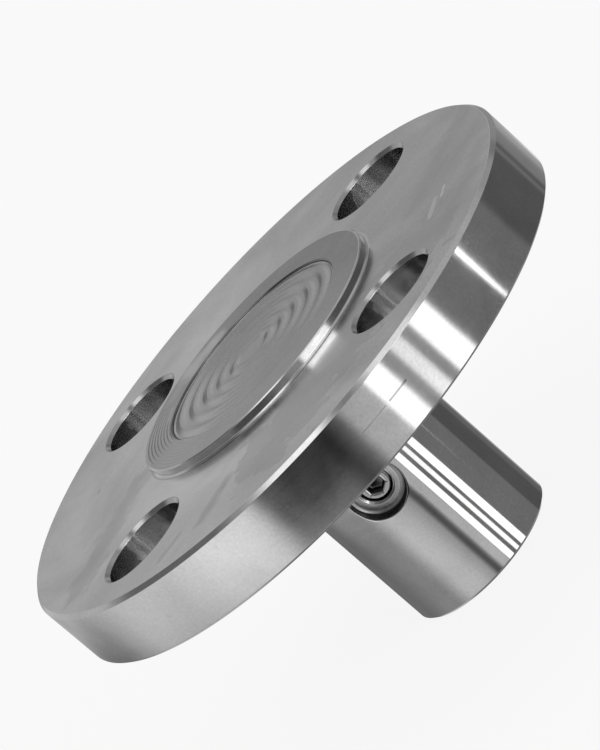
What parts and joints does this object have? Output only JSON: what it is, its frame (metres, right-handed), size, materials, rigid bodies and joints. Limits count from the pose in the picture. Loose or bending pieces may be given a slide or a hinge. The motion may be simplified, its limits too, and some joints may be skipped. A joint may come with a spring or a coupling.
{
  "type": "gauge diaphragm seal",
  "caption": "Flanged diaphragm seal: a drilled raised-face flange with a corrugated foil in its face, and a boss behind it with a gauge socket and a fill port.",
  "frame": {"origin": "centre of the gauge boss's free end, on which the seal stands when it isn't fitted", "axes": "+Z along the axis of turning and out of the process face, X and Y midway between bolt holes, fill port near -Y"},
  "size_m": [0.108, 0.108, 0.0525],
  "materials": {
    "flange_steel": "turned stainless steel, satin on the faces and bright on the rim",
    "foil_steel": "matt pressed stainless foil",
    "boss_steel": "bright turned stainless steel",
    "screw_steel": "bright stainless steel with a dark socket",
    "disc_plastic": "plain white fluoroplastic"
  },
  "bodies": {
    "root": {"flange": "flange_steel", "diaphragm": "foil_steel", "gauge_boss": "boss_steel", "fill_screw": "screw_steel", "seal_disc": "disc_plastic"}
  },
  "joints": []
}
